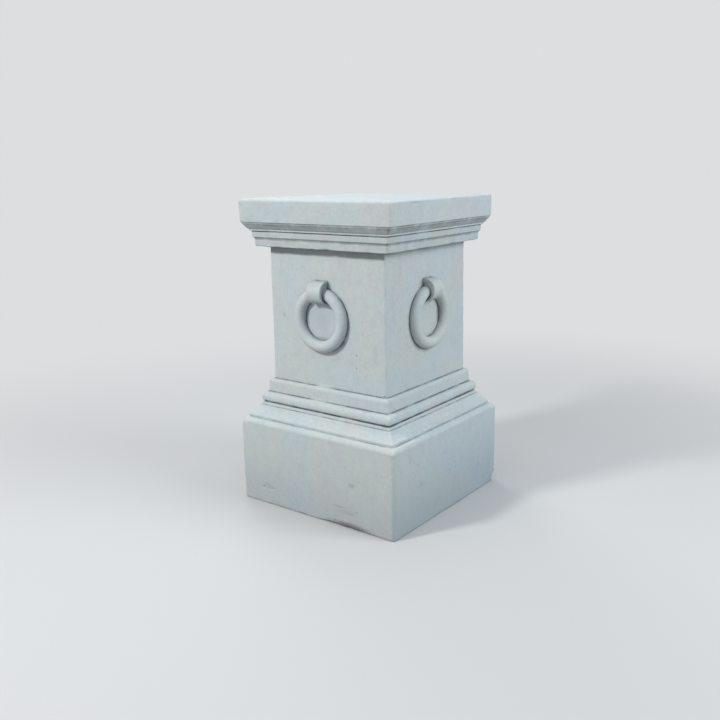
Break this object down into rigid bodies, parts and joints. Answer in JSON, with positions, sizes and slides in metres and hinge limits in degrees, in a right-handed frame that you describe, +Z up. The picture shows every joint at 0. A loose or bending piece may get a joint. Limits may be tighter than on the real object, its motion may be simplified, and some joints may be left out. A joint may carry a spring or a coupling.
{
  "type": "square garden pedestal with ring ornaments",
  "caption": "Square cast stone pedestal with a heavy plinth, moulded base and cap, and a ring in relief on each side of its shaft; carries an urn, statue or small column.",
  "frame": {"origin": "middle of the square underside, on the ground", "axes": "+Z up; -Y is the front face, the one on the left in the picture, and +X is the face on the right"},
  "size_m": [0.4, 0.4, 0.64],
  "materials": {
    "cast_stone": "matt, pale grey limewash with darker patina in the creases"
  },
  "bodies": {
    "root": {"pedestal": "cast_stone"}
  },
  "joints": []
}
